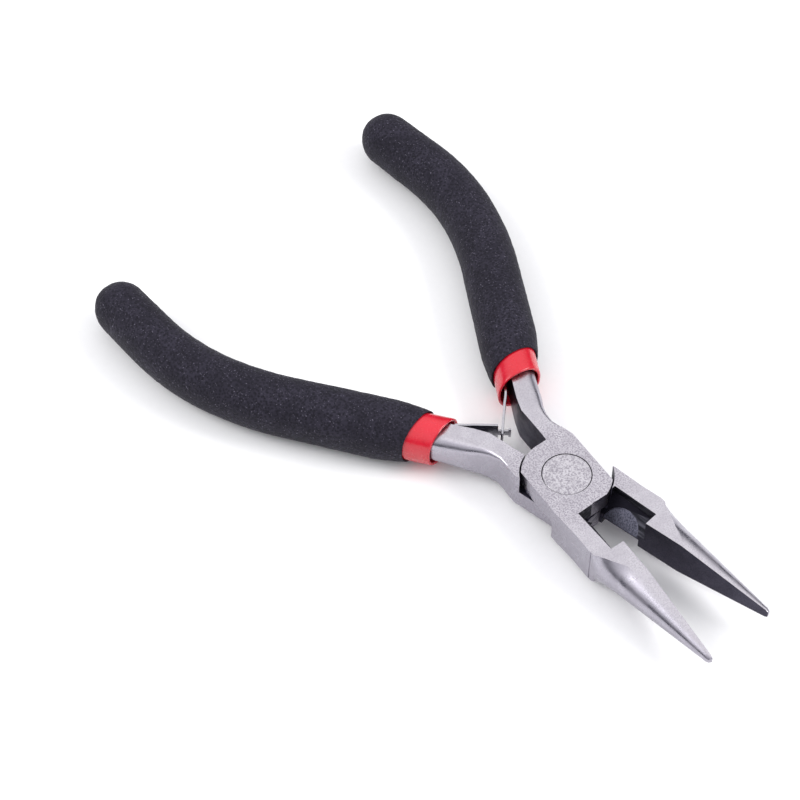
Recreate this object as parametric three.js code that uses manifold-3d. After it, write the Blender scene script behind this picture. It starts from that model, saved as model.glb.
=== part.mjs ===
// Long-nose pliers with a side cutter in the jaws, a flush riveted lap joint, two
// interlocking leaf springs and sleeved foam grips.
//
// Millimetres. The pivot axis is Z, through the origin, and +X runs to the jaw tips. Each
// half is drawn with the pliers closed, so that both gripping faces lie on the plane Y = 0,
// and is then turned about the pivot to its open rest position. The half that is drawn here
// has its handle on +Y and its jaw on -Y. The other half is its mirror image in Y.

import * as THREE from 'three';
import { ParametricGeometry } from 'three/addons/geometries/ParametricGeometry.js';
import { mergeVertices } from 'three/addons/utils/BufferGeometryUtils.js';
import Module from 'manifold-3d';

const wasm = await Module();
wasm.setup();

// ---------------------------------------------------------------- driving dimensions

const degree = Math.PI / 180;
const restAngle = 9 * degree;      // turn of each half from closed to its rest position
const thickness = 7.1;             // of the joint and the jaw roots
const tipX = 39.3;                 // jaw tips
const endX = -86.6;                // ends of the grips: 126 mm overall with the handles closed
const plateRadius = 7.4;           // corners of the lapped plates
const socketRadius = 7.7;          // round shoulder that a plate turns in
const headRadius = 3.85;           // rivet heads, flush with the faces
const shankRadius = 2.6;
const clearance = 0.3;             // between separate pieces
const faceOffset = 0.1;            // of each gripping face from the plane Y = 0

const half = thickness / 2;
const beyond = half + 2;           // a height that is clear of every face
const lap = clearance / 2;         // of each lapped face from the plane Z = 0

// ---------------------------------------------------------------- finishes

const steel = new THREE.MeshStandardMaterial({ color: 0xc9c6cc, roughness: 0.38, metalness: 1 });
const rivetSteel = new THREE.MeshStandardMaterial({ color: 0xcfccd1, roughness: 0.4, metalness: 1 });
const springSteel = new THREE.MeshStandardMaterial({ color: 0x77757f, roughness: 0.3, metalness: 1 });
const redVinyl = new THREE.MeshStandardMaterial({ color: 0xd8202f, roughness: 0.25, metalness: 0 });
const blackFoam = new THREE.MeshStandardMaterial({ color: 0x1c1b20, roughness: 0.92, metalness: 0 });

// ---------------------------------------------------------------- solids

function weld(geometry) {
  const bare = geometry.clone();
  bare.deleteAttribute('normal');
  bare.deleteAttribute('uv');
  const welded = mergeVertices(bare, 1e-4);
  const corners = welded.index.array;
  const kept = [];
  for (let i = 0; i < corners.length; i += 3) {
    const [a, b, c] = corners.slice(i, i + 3);
    if (a !== b && b !== c && c !== a) kept.push(a, b, c);
  }
  welded.setIndex(kept);
  return welded;
}

function solid(geometry) {
  const welded = weld(geometry);
  return new wasm.Manifold(new wasm.Mesh({
    numProp: 3,
    vertProperties: new Float32Array(welded.attributes.position.array),
    triVerts: new Uint32Array(welded.index.array),
  }));
}

function toGeometry(manifold) {
  const mesh = manifold.getMesh();
  const geometry = new THREE.BufferGeometry();
  geometry.setAttribute('position', new THREE.BufferAttribute(mesh.vertProperties, 3));
  geometry.setIndex(new THREE.BufferAttribute(mesh.triVerts, 1));
  return geometry;
}

// A geometry's mirror image in the plane Y = 0, still facing outwards.
function mirrored(geometry) {
  const image = geometry.clone().applyMatrix4(new THREE.Matrix4().makeScale(1, -1, 1));
  const corners = image.index.array;
  for (let i = 0; i < corners.length; i += 3) {
    [corners[i], corners[i + 1]] = [corners[i + 1], corners[i]];
  }
  return image;
}

// A plan outline raised from one height to another.
function prism(shape, low, high) {
  const options = { depth: high - low, bevelEnabled: false, curveSegments: 12 };
  return solid(new THREE.ExtrudeGeometry(shape, options).translate(0, 0, low));
}

function cylinder(radius, low, high, sides) {
  return solid(new THREE.CylinderGeometry(radius, radius, high - low, sides)
    .rotateX(Math.PI / 2)
    .translate(0, 0, (low + high) / 2));
}

function polygon(points) {
  return new THREE.Shape(points.map(([x, y]) => new THREE.Vector2(x, y)));
}

// A closed skin through a row of sections. Each section is a ring of the same number of
// points, counted anticlockwise when seen from the far end of the row.
function loft(sections) {
  const count = sections[0].length;
  const middle = (ring) => ring
    .reduce((sum, point) => sum.add(point), new THREE.Vector3())
    .divideScalar(count);
  const rows = [
    sections[0].map(() => middle(sections[0])),
    ...sections,
    sections.at(-1).map(() => middle(sections.at(-1))),
  ];
  const point = (u, v, target) => {
    const row = rows[Math.round(v * (rows.length - 1))];
    target.copy(row[Math.round(u * count) % count]);
  };
  return solid(new ParametricGeometry(point, count, rows.length - 1));
}

// ---------------------------------------------------------------- handle centre line

const mouth = new THREE.Vector3(-21.1, 5.4, 0);          // centre of the sleeve's open end
const bendStart = new THREE.Vector3(-46.1, 16.25, 0);
const bendCorner = new THREE.Vector3(-59.8, 22.25, 0);
const bendEnd = new THREE.Vector3(-73.1, 19.65, 0);
const tailSlope = (bendCorner.y - bendEnd.y) / (bendCorner.x - bendEnd.x);
const tail = new THREE.Vector3(endX, bendEnd.y + tailSlope * (endX - bendEnd.x), 0);
const ringLength = 4.3;            // of the sleeve that shows in front of the grip

const handleLine = new THREE.CurvePath();
handleLine.add(new THREE.LineCurve3(mouth, bendStart));
handleLine.add(new THREE.QuadraticBezierCurve3(bendStart, bendCorner, bendEnd));
handleLine.add(new THREE.LineCurve3(bendEnd, tail));
const handleLength = handleLine.getLength();

// The point at a distance behind the mouth of the sleeve and the direction away from the
// other handle there. In front of the mouth the line runs on straight.
function handleFrame(distance) {
  const at = THREE.MathUtils.clamp(distance / handleLength, 0, 1);
  const along = handleLine.getTangentAt(at);
  const centre = handleLine.getPointAt(at);
  if (distance < 0) centre.addScaledVector(along, distance);
  return { centre, along, outward: new THREE.Vector3(along.y, -along.x, 0) };
}

// A rounded ring round the handle's centre line: an ellipse with somewhat fuller corners.
// The front ends of the sleeve and the grip lean forwards on the side that faces the other
// handle, and the lean fades out behind them.
function ovalRing(distance, halfWidth, halfHeight) {
  const sides = 20;
  const fullness = 0.9;
  const frontLean = Math.tan(21 * degree);
  const leanLength = 14;
  const { centre, along, outward } = handleFrame(distance);
  const lean = frontLean * THREE.MathUtils.clamp(1 - (distance - ringLength) / leanLength, 0, 1);
  const bulge = (value) => Math.sign(value) * Math.abs(value) ** fullness;
  return Array.from({ length: sides }, (_, i) => {
    const turn = (2 * Math.PI * i) / sides;
    const offset = halfWidth * bulge(Math.cos(turn));
    return centre.clone()
      .addScaledVector(outward, offset)
      .addScaledVector(along, lean * offset)
      .setZ(-halfHeight * bulge(Math.sin(turn)));
  });
}

// Distances from one to another in near-equal steps.
function steps(from, to, count) {
  return Array.from({ length: count + 1 }, (_, i) => from + ((to - from) * i) / count);
}

// ---------------------------------------------------------------- forging: plate

const jawWidth = 5.75;             // of one jaw at its root
const plateFront = 7.0;            // straight front edge of the plate
const jawRootX = 14.8;             // where the side of the jaw starts to round
const neckX = -8.7;                // where the neck is out of the plate

function plate() {
  const front = [24 * degree, 49 * degree];
  const rear = [Math.PI, 235 * degree];
  const shape = new THREE.Shape();
  shape.moveTo(-6.2, 5.55);
  shape.lineTo(neckX + 0.2, 4.85);
  shape.lineTo(neckX + 0.2, 1.24);
  shape.lineTo(-7.55, 1.2);
  shape.absarc(0, 0, plateRadius, rear[0], rear[1], false);
  shape.lineTo(5.9, -6.05);
  shape.lineTo(10.7, -jawWidth);
  shape.lineTo(jawRootX - 0.2, -jawWidth);
  shape.lineTo(jawRootX - 0.2, -faceOffset);
  shape.lineTo(plateFront, -faceOffset);
  shape.absarc(0, 0, plateRadius, front[0], front[1], false);
  return prism(shape, -half, half);
}

// ---------------------------------------------------------------- forging: neck and tang

const neckCorner = 2.2;            // rounding of the neck's outer edges at the sleeve
const tangInner = -1.54;           // offset of the flat inner face from the centre line
const tangOuter = 2.85;
const tangHalfHeight = 3.1;
const tangEnd = 54;                // length of the tang inside the sleeve

// A flat inner face with square edges and an outer side with rounded ones.
function neckRing(inner, outer, corner, halfHeight) {
  const across = outer.clone().sub(inner);
  const width = across.length();
  const outward = across.divideScalar(width);
  const place = (offset, z) => inner.clone().addScaledVector(outward, offset).setZ(z);
  const turns = steps(0, 90 * degree, 6);
  const round = (side) => turns.map((turn) => place(
    width - corner + corner * Math.sin(turn),
    side * (halfHeight - corner + corner * Math.cos(turn)),
  ));
  return [place(0, -halfHeight), place(0, halfHeight), ...round(1), ...round(-1).reverse()];
}

function neck() {
  const at = (x, y) => new THREE.Vector3(x, y, 0);
  const rings = [
    neckRing(at(-7.0, 1.5), at(-6.4, 5.2), 0.25, half),
    neckRing(at(neckX, 1.25), at(neckX, 4.8), 0.35, half),
    neckRing(at(-10.4, 1.28), at(-10.4, 4.4), 0.6, half),
    neckRing(at(-12.5, 1.27), at(-12.3, 4.65), 1.0, half),
    neckRing(at(-14.8, 1.27), at(-13.8, 5.15), 1.3, 3.5),
  ];
  const behind = [[-4.7, 1.6, 3.4], [-2.4, 1.9, 3.3], [0, neckCorner, 3.2], [4, neckCorner, tangHalfHeight]];
  for (const [distance, corner, halfHeight] of behind) {
    const { centre, outward } = handleFrame(distance);
    rings.push(neckRing(
      centre.clone().addScaledVector(outward, tangInner),
      centre.clone().addScaledVector(outward, tangOuter),
      corner,
      halfHeight,
    ));
  }
  for (const distance of steps(handleLine.curves[0].getLength(), tangEnd, 8)) {
    const { centre, outward } = handleFrame(distance);
    rings.push(neckRing(
      centre.clone().addScaledVector(outward, tangInner),
      centre.clone().addScaledVector(outward, tangOuter),
      neckCorner,
      tangHalfHeight,
    ));
  }
  return loft(rings);
}

// ---------------------------------------------------------------- forging: jaw

const taperX = 16.8;               // where the jaw starts to narrow
const flatEndX = 22.4;             // where the flat faces run out at the gripping face
const noseX = 38.2;                // where the blunt tip starts
const noseWidth = 1.15;
const noseHalfHeight = 1.0;
const tipTurn = 80 * degree;       // how far the rounding of the blunt tip goes

// Half of an ellipse on the gripping face. Its height grows towards the root, so that the
// flat faces cut it along a curve from the gripping face to the jaw's outer side.
function jawRing(x, width, halfHeight) {
  return steps(90 * degree, -90 * degree, 20).map((turn) => new THREE.Vector3(
    x,
    -faceOffset - (width - faceOffset) * Math.cos(turn),
    halfHeight * Math.sin(turn),
  ));
}

function jawWidthAt(x) {
  const taper = (jawWidth - noseWidth) / (noseX - taperX);
  return Math.min(jawWidth, jawWidth - taper * (x - taperX));
}

function jawHalfHeightAt(x) {
  if (x >= flatEndX) return THREE.MathUtils.mapLinear(x, flatEndX, noseX, half, noseHalfHeight);
  const left = (flatEndX - x) / (flatEndX - jawRootX);
  const flatWidth = 0.99 * jawWidth * Math.min(1, left) ** 0.8;
  return half / Math.sqrt(1 - Math.min(0.98, (flatWidth / jawWidthAt(x)) ** 2));
}

function jaw() {
  const hiddenX = jawRootX - 0.9;
  const rings = [jawRing(hiddenX, jawWidth - 0.2, 5 * half)];
  for (const x of [...steps(jawRootX, flatEndX, 8), noseX]) {
    rings.push(jawRing(x, jawWidthAt(x), jawHalfHeightAt(x)));
  }
  for (const turn of [30 * degree, 60 * degree, tipTurn]) {
    const shrink = 0.35 + 0.65 * Math.cos(turn);
    const x = noseX + (tipX - noseX) * Math.sin(turn) / Math.sin(tipTurn);
    rings.push(jawRing(x, noseWidth * shrink, noseHalfHeight * shrink));
  }
  const slab = solid(new THREE.BoxGeometry(60, 30, thickness).translate(30, 0, 0));
  return loft(rings).intersect(slab);
}

// ---------------------------------------------------------------- forging: side cutter

const windowEndX = 15.5;           // front wall of the cutter window
const edgeHeight = -1.77;          // of the cutting edge
const ledge = 0.8;                 // of the sloping floor above the ground bevel
const bladeRadius = 3.4;           // of the half-round ground bevel
const bladeX = 11.0;               // its centre
const reliefEndX = 14.6;           // end of the relief under the cutting edge

// A profile in Y and Z carried along X.
function rail(profile, fromX, toX) {
  const options = { depth: toX - fromX, bevelEnabled: false };
  return solid(new THREE.ExtrudeGeometry(polygon(profile), options)
    .rotateX(Math.PI / 2)
    .rotateZ(Math.PI / 2)
    .translate(fromX, 0, 0));
}

function cutterWindow() {
  const plan = polygon([
    [plateFront - 0.05, 1], [7.4, -3.0], [windowEndX + 0.3, -2.6], [windowEndX, 1],
  ]);
  const floor = edgeHeight + ledge;
  const above = rail([[1, floor - 1], [1, beyond], [-4, beyond], [-4, floor + 4]], 5, 18);
  const pocket = prism(plan, -beyond, beyond).intersect(above);
  const bevel = solid(new THREE.CylinderGeometry(bladeRadius, bladeRadius, 4, 56)
    .translate(0, 2, 0)
    .rotateX(45 * degree)
    .translate(bladeX, 0, edgeHeight));
  const reach = half + 1 + edgeHeight;
  const relief = rail(
    [[1, edgeHeight], [0, edgeHeight], [-reach, edgeHeight - reach], [1, edgeHeight - reach]],
    plateFront + 0.4,
    reliefEndX,
  );
  return pocket.add(bevel).add(relief);
}

// ---------------------------------------------------------------- rivet

// The rivet's outline about the pivot axis, grown by a gap where it is a hole.
function rivetProfile(gap, overrun) {
  const headDepth = 1.3;
  const coneAtHead = 0.5;
  const coneAtShank = 0.6;
  const shoulder = half - headDepth;
  const shank = shankRadius + gap;
  const head = headRadius + gap;
  const top = half + overrun;
  return [
    [0, -top], [head, -top], [head, -shoulder - coneAtHead], [shank, -shoulder + coneAtShank],
    [shank, shoulder - coneAtShank], [head, shoulder + coneAtHead], [head, top], [0, top],
  ].map(([r, z]) => new THREE.Vector2(r, z));
}

function rivetSolid(gap, overrun) {
  return solid(new THREE.LatheGeometry(rivetProfile(gap, overrun), 40).rotateX(Math.PI / 2));
}

// ---------------------------------------------------------------- leaf springs

const leafThickness = 0.4;
const leafHalfWidth = 2.0;         // across the leaf, along Z
const leafLead = 1.2;              // the free part starts this far in front of the mouth
const leafReach = 7.9;             // from there to where the leaves cross
const leafAngle = -37.8 * degree;  // of the free part, with the half drawn closed
const leafOffset = -2.65;          // from the centre line, where the free part starts
const leafGap = 0.15;              // from there to each part of the leaf

const leafFoot = handleFrame(-leafLead).centre
  .addScaledVector(handleFrame(-leafLead).outward, leafOffset);

// A flat outline, along and across the leaf, as a plate on the free part's middle plane.
function leafPlate(shape) {
  const along = new THREE.Vector3(Math.cos(leafAngle), Math.sin(leafAngle), 0);
  const across = new THREE.Vector3(0, 0, 1);
  const placing = new THREE.Matrix4()
    .makeBasis(along, across, along.clone().cross(across))
    .setPosition(leafFoot);
  const options = { depth: leafThickness, bevelEnabled: false };
  return solid(new THREE.ExtrudeGeometry(shape, options)
    .translate(0, 0, -leafThickness / 2)
    .applyMatrix4(placing));
}

// The outline of a leaf or of its window, anticlockwise, from its +Z half.
function mirroredOutline(points) {
  return polygon([...points.map(([x, y]) => [x, -y]), ...points.reverse()]);
}

// One leaf ends in a tongue with a wider head, and the other has a window that the tongue
// passes through.
const windowHalfWidth = 0.8;
const windowStart = leafReach - 1.3;
const windowEnd = leafReach + 0.9;

function leafWithTongue() {
  const tongue = windowHalfWidth - 0.25;
  const head = windowHalfWidth + 0.2;
  const shoulder = leafReach - 0.75;
  return leafPlate(mirroredOutline([
    [leafGap, leafHalfWidth], [shoulder, leafHalfWidth], [shoulder, tongue],
    [leafReach + 1, tongue], [leafReach + 1, head], [leafReach + 1.4, head],
  ]));
}

function leafWithWindow() {
  const corner = 0.5;
  const end = windowEnd + 0.6;
  const shape = mirroredOutline([
    [leafGap, leafHalfWidth], [end - corner, leafHalfWidth], [end, leafHalfWidth - corner],
  ]);
  shape.holes.push(mirroredOutline([[windowStart, windowHalfWidth], [windowEnd, windowHalfWidth]]));
  return leafPlate(shape);
}

const clampDepth = 10;             // far end of the clamped part, behind the sleeve's mouth
const clampOffset = -1.95;         // from the centre line, at that end

// The clamped part of a leaf, inside the sleeve.
function leafRoot() {
  const corners = [];
  for (const [distance, offset] of [[leafGap - leafLead, leafOffset], [clampDepth, clampOffset]]) {
    const { centre, outward } = handleFrame(distance);
    for (const side of [-leafThickness / 2, leafThickness / 2]) {
      corners.push(centre.clone().addScaledVector(outward, offset + side));
    }
  }
  const [a, b, c, d] = corners.map(({ x, y }) => [x, y]);
  return prism(polygon([a, b, d, c]), -leafHalfWidth, leafHalfWidth);
}

// A small rivet with its axis across the handle, grown by a gap where it is a hole.
const pinDepth = 8;                // of the rivet behind the mouth of the sleeve
const pinRadius = 0.8;

function pinAcross(radius, from, to) {
  const { centre, outward } = handleFrame(pinDepth);
  const turn = Math.atan2(outward.y, outward.x) - Math.PI / 2;
  return solid(new THREE.CylinderGeometry(radius, radius, to - from, 16)
    .translate(0, (from + to) / 2, 0)
    .rotateZ(turn)
    .translate(centre.x, centre.y, 0));
}

// ---------------------------------------------------------------- sleeve and grip

const sleeveHalfWidth = 3.9;
const sleeveHalfHeight = 4.3;
const sleeveWall = 0.5;
const sleeveEnd = 60;
const gripGap = 0.2;
const gripFrontLength = 7;         // over which the grip swells behind its front edge
const gripFrontGrowth = 0.45;      // thickness of the foam at that edge
const gripSwell = 0.75;            // how much thicker it gets
const gripSlimming = 0.6;          // and how much of that it loses towards the back
const gripHeightShare = 0.75;      // thickness of the foam above, as a share of beside

function sleeve() {
  const bend = steps(handleLine.curves[0].getLength(), sleeveEnd, 9);
  const skin = (grow, distances) => loft(distances.map((distance) => ovalRing(
    distance,
    sleeveHalfWidth + grow,
    sleeveHalfHeight + grow,
  )));
  const hollow = [...bend.slice(0, -1), sleeveEnd - 1.5];
  return skin(0, [0, ...bend]).subtract(skin(-sleeveWall, [-1, ...hollow]));
}

// Thickness of the grip along its length: a soft front edge, full just behind it, slimmer
// towards the back, and a domed end.
function gripGrowth(distance) {
  const front = Math.min(1, (distance - ringLength) / gripFrontLength);
  const slim = THREE.MathUtils.mapLinear(distance, ringLength, handleLength, 0, gripSlimming);
  return gripFrontGrowth + gripSwell * Math.sin(front * 90 * degree) - slim;
}

function grip() {
  const domeLength = 5;
  const domeStart = handleLength - domeLength;
  const straight = handleLine.curves[0].getLength();
  const front = steps(ringLength, ringLength + gripFrontLength, 5);
  const rings = [...front, ...steps(straight - 6, domeStart, 14)]
    .map((distance) => ovalRing(
      distance,
      sleeveHalfWidth + gripGrowth(distance),
      sleeveHalfHeight + gripGrowth(distance) * gripHeightShare,
    ));
  for (const turn of [25, 45, 62, 76, 86]) {
    const distance = domeStart + domeLength * Math.sin(turn * degree);
    const shrink = Math.cos(turn * degree);
    rings.push(ovalRing(
      distance,
      (sleeveHalfWidth + gripGrowth(domeStart)) * shrink,
      (sleeveHalfHeight + gripGrowth(domeStart) * gripHeightShare) * shrink,
    ));
  }
  const cavity = [ringLength - 1, ...steps(straight, sleeveEnd + clearance, 9)]
    .map((distance) => ovalRing(distance, sleeveHalfWidth + gripGap, sleeveHalfHeight + gripGap));
  return loft(rings).subtract(loft(cavity));
}

// ---------------------------------------------------------------- assembly

// The forging of one half. The lapped plate is the upper or the lower half of the joint.
function forging(lapAbove) {
  const [low, high] = lapAbove ? [-beyond, lap] : [-lap, beyond];
  return plate()
    .add(neck())
    .add(jaw())
    .subtract(cutterWindow())
    .subtract(cylinder(socketRadius, low, high, 72))
    .subtract(rivetSolid(clearance, 1))
    .subtract(pinAcross(pinRadius + clearance, tangInner - 1, 1.5));
}

function springRivet() {
  const headTop = clampOffset - 0.52;
  return pinAcross(pinRadius, headTop - 0.1, 1.2)
    .add(pinAcross(1.2, headTop - 0.35, headTop));
}

function leafRootWithHole() {
  return leafRoot().subtract(pinAcross(pinRadius + 0.15, clampOffset - 1, tangInner));
}

const group = new THREE.Group();

function addMesh(parent, name, geometry, material) {
  const mesh = new THREE.Mesh(geometry, material);
  mesh.name = name;
  parent.add(mesh);
}

for (const [side, mirror] of [['upper', false], ['lower', true]]) {
  const halfGroup = new THREE.Group();
  halfGroup.rotation.z = mirror ? restAngle : -restAngle;
  const place = (manifold) => (mirror ? mirrored(toGeometry(manifold)) : toGeometry(manifold));
  const leaf = mirror ? leafWithTongue() : leafWithWindow();
  addMesh(halfGroup, `${side}_forging`, place(forging(!mirror)), steel);
  addMesh(halfGroup, `${side}_spring_leaf`, place(leaf), springSteel);
  addMesh(halfGroup, `${side}_spring_root`, place(leafRootWithHole()), springSteel);
  addMesh(halfGroup, `${side}_spring_rivet`, place(springRivet()), rivetSteel);
  addMesh(halfGroup, `${side}_inner_sleeve`, place(sleeve()), redVinyl);
  addMesh(halfGroup, `${side}_foam_grip`, place(grip()), blackFoam);
  group.add(halfGroup);
}

addMesh(group, 'pivot_rivet', toGeometry(rivetSolid(0, 0)), rivetSteel);

export default group;
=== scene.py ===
"""Finished look of small long-nose pliers with a side cutter, sprung leaves and foam grips.

Metres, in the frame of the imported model: the pivot axis is Z through the origin and +X runs
towards the jaw tips.
"""

import logging
import math
from dataclasses import dataclass, field
from enum import Enum

import bmesh
import bpy
from mathutils import Matrix, Vector, noise


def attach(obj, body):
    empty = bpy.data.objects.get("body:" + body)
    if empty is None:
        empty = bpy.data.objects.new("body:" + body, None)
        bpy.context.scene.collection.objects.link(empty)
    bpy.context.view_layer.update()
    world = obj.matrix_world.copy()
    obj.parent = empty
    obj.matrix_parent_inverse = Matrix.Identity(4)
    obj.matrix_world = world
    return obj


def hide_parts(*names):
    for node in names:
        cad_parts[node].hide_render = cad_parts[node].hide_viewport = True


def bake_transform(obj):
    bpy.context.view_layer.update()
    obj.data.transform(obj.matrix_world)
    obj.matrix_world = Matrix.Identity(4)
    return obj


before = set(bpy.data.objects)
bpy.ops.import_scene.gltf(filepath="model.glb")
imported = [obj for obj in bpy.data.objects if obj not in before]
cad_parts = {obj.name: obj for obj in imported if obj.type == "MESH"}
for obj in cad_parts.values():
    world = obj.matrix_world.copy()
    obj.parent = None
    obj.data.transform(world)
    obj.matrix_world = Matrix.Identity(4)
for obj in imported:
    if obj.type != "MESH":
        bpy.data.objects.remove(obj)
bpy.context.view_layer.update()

log = logging.getLogger("pliers")

MM = 0.001
REST_ANGLE = math.radians(9.0)
Colour = tuple[float, float, float, float]


class Side(Enum):
    """The two halves, by the handle's side: the upper one has its handle on +Y."""

    UPPER = 1
    LOWER = -1

    @property
    def prefix(self) -> str:
        """First word of this half's node and piece names."""
        return self.name.lower()

    @property
    def body(self) -> str:
        """The rigid body of this half."""
        return f"{self.prefix}_half"

    @property
    def leaf_body(self) -> str:
        """Name for a rigid body of this half's free leaf; nothing in this script attaches a piece to it."""
        return f"{self.prefix}_leaf"

    def place(self, closed: Vector) -> Vector:
        """Moves a point or direction of the closed half on +Y to this half at rest.

        Args:
            closed: a point or direction with the pliers closed.

        Returns:
            The same point on this half, opened to the rest position.
        """
        flipped = Vector((closed.x, closed.y * self.value, closed.z))
        return Matrix.Rotation(-REST_ANGLE * self.value, 3, "Z") @ flipped

    def unplace(self, rest: Vector) -> Vector:
        """Moves a point or direction at rest back to the closed half on +Y.

        Args:
            rest: a point or direction of this half at rest.

        Returns:
            The same point with the pliers closed, on the half with its handle on +Y.
        """
        turned = Matrix.Rotation(REST_ANGLE * self.value, 3, "Z") @ rest
        return Vector((turned.x, turned.y * self.value, turned.z))


# ---------------------------------------------------------------- shader helpers


class Nodes:
    """Adds nodes to a material's or a group's tree."""

    def __init__(self, tree: bpy.types.NodeTree) -> None:
        """Keeps the tree.

        Args:
            tree: the node tree that nodes are added to.
        """
        self.tree = tree

    def add(self, kind: str, inputs: dict | None = None, **settings: object) -> bpy.types.Node:
        """Adds a node, sets its options, and sets or links its inputs.

        Args:
            kind: the node's class name.
            inputs: values or output sockets, by input name or index.
            **settings: options of the node itself.

        Returns:
            The new node.
        """
        node = self.tree.nodes.new(kind)
        for name, value in settings.items():
            setattr(node, name, value)
        for key, value in (inputs or {}).items():
            socket = node.inputs[key]
            if isinstance(value, bpy.types.NodeSocket):
                self.tree.links.new(value, socket)
            else:
                socket.default_value = value
        return node

    def noise(
        self,
        vector: bpy.types.NodeSocket,
        scale: float | bpy.types.NodeSocket,
        detail: float = 3.0,
    ) -> bpy.types.NodeSocket:
        """A noise value over a place.

        Args:
            vector: where the noise is read.
            scale: features per metre.
            detail: octaves of finer noise.

        Returns:
            The noise value, from 0 to 1.
        """
        inputs = {"Vector": vector, "Scale": scale, "Detail": detail}
        return self.add("ShaderNodeTexNoise", inputs).outputs["Fac"]

    def ramp(
        self,
        value: bpy.types.NodeSocket,
        low: float,
        high: float,
        to: tuple[float, float] = (0.0, 1.0),
    ) -> bpy.types.NodeSocket:
        """Stretches a range of a value smoothly to another range.

        Args:
            value: the value to stretch.
            low: where the range starts.
            high: where it ends.
            to: what the two ends become.

        Returns:
            The stretched value.
        """
        inputs = {"Value": value, "From Min": low, "From Max": high, "To Min": to[0], "To Max": to[1]}
        return self.add("ShaderNodeMapRange", inputs, interpolation_type="SMOOTHSTEP").outputs["Result"]

    def mix(self, factor: bpy.types.NodeSocket, first: object, second: object) -> bpy.types.NodeSocket:
        """Mixes two colours.

        Args:
            factor: the share of the second colour.
            first: colour or socket at 0.
            second: colour or socket at 1.

        Returns:
            The mixed colour.
        """
        node = self.add("ShaderNodeMix", {0: factor, 6: first, 7: second}, data_type="RGBA")
        return node.outputs[2]

    def math(self, operation: str, first: object, second: object) -> bpy.types.NodeSocket:
        """Works out one value from two.

        Args:
            operation: the Math node's operation.
            first: value or socket.
            second: value or socket.

        Returns:
            The result.
        """
        return self.add("ShaderNodeMath", {0: first, 1: second}, operation=operation).outputs[0]

    def bump(
        self,
        height: bpy.types.NodeSocket,
        distance: float,
        strength: float,
        normal: bpy.types.NodeSocket | None = None,
    ) -> bpy.types.NodeSocket:
        """Turns a height into a normal.

        Args:
            height: the height, from 0 to 1.
            distance: metres that a height of 1 stands for.
            strength: how much of it shows.
            normal: a normal that this one is added to.

        Returns:
            The bumped normal.
        """
        inputs = {"Height": height, "Distance": distance, "Strength": strength}
        if normal is not None:
            inputs["Normal"] = normal
        return self.add("ShaderNodeBump", inputs).outputs["Normal"]


class Group:
    """A shader node group with named inputs and outputs, built once."""

    def __init__(self, name: str, inputs: dict[str, float], outputs: dict[str, str]) -> None:
        """Makes the empty group.

        Args:
            name: the group's name.
            inputs: float inputs and their defaults.
            outputs: output names and socket types.
        """
        self.tree = bpy.data.node_groups.new(name, "ShaderNodeTree")
        for label, value in inputs.items():
            socket = self.tree.interface.new_socket(label, in_out="INPUT", socket_type="NodeSocketFloat")
            socket.default_value = value
        for label, kind in outputs.items():
            self.tree.interface.new_socket(label, in_out="OUTPUT", socket_type=kind)
        self.nodes = Nodes(self.tree)
        self.inputs = self.nodes.add("NodeGroupInput").outputs
        self.result = self.nodes.add("NodeGroupOutput").inputs
        self.place = self.nodes.add("ShaderNodeTexCoord").outputs["Object"]

    def give(self, **values: bpy.types.NodeSocket) -> None:
        """Links values to the group's outputs.

        Args:
            **values: sockets by output name.
        """
        for name, socket in values.items():
            self.tree.links.new(socket, self.result[name])

    def use(self, nodes: Nodes, **values: float) -> bpy.types.Node:
        """Places the group in a material.

        Args:
            nodes: the material's nodes.
            **values: the group's inputs.

        Returns:
            The group node.
        """
        node = nodes.add("ShaderNodeGroup", node_tree=self.tree)
        for name, value in values.items():
            node.inputs[name].default_value = value
        return node


def grain_group() -> Group:
    """Fine speckle of ground steel, with its slow cloudiness and its height.

    Returns:
        The group, with Scale (speckles per metre) and Spread (share of dark specks).
    """
    group = Group(
        "ground_grain",
        {"Scale": 2600.0, "Spread": 0.5},
        {"Speckle": "NodeSocketFloat", "Cloud": "NodeSocketFloat", "Height": "NodeSocketFloat"},
    )
    n = group.nodes
    scale = group.inputs["Scale"]
    fine = n.noise(group.place, scale, 4.0)
    wide_scale = n.math("MULTIPLY", scale, 0.11)
    wide = n.noise(group.place, wide_scale, 4.0)
    edge = n.math("ADD", group.inputs["Spread"], 0.24)
    speckle = n.add(
        "ShaderNodeMapRange",
        {"Value": fine, "From Min": group.inputs["Spread"], "From Max": edge},
        interpolation_type="SMOOTHSTEP",
    ).outputs["Result"]
    group.give(Speckle=speckle, Cloud=n.ramp(wide, 0.35, 0.65), Height=fine)
    return group


def cell_group() -> Group:
    """Fine cells of foamed rubber.

    Returns:
        The group, with Scale (cells per metre).
    """
    group = Group(
        "foam_cells",
        {"Scale": 2400.0},
        {"Cells": "NodeSocketFloat", "Glints": "NodeSocketFloat", "Cloud": "NodeSocketFloat"},
    )
    n = group.nodes
    scale = group.inputs["Scale"]
    cells = n.add("ShaderNodeTexVoronoi", {"Vector": group.place, "Scale": scale}, feature="SMOOTH_F1")
    cells.inputs["Smoothness"].default_value = 0.4
    rough = n.noise(group.place, scale)
    domes = n.math("MULTIPLY", cells.outputs["Distance"], 0.7)
    height = n.math("ADD", domes, n.math("MULTIPLY", rough, 0.5))
    spark_scale = n.math("MULTIPLY", scale, 1.6)
    glints = n.ramp(n.noise(group.place, spark_scale, 1.0), 0.66, 0.74)
    cloud = n.ramp(n.noise(group.place, 260.0), 0.3, 0.7)
    group.give(Cells=height, Glints=glints, Cloud=cloud)
    return group


GRAIN = grain_group()
CELLS = cell_group()


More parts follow.
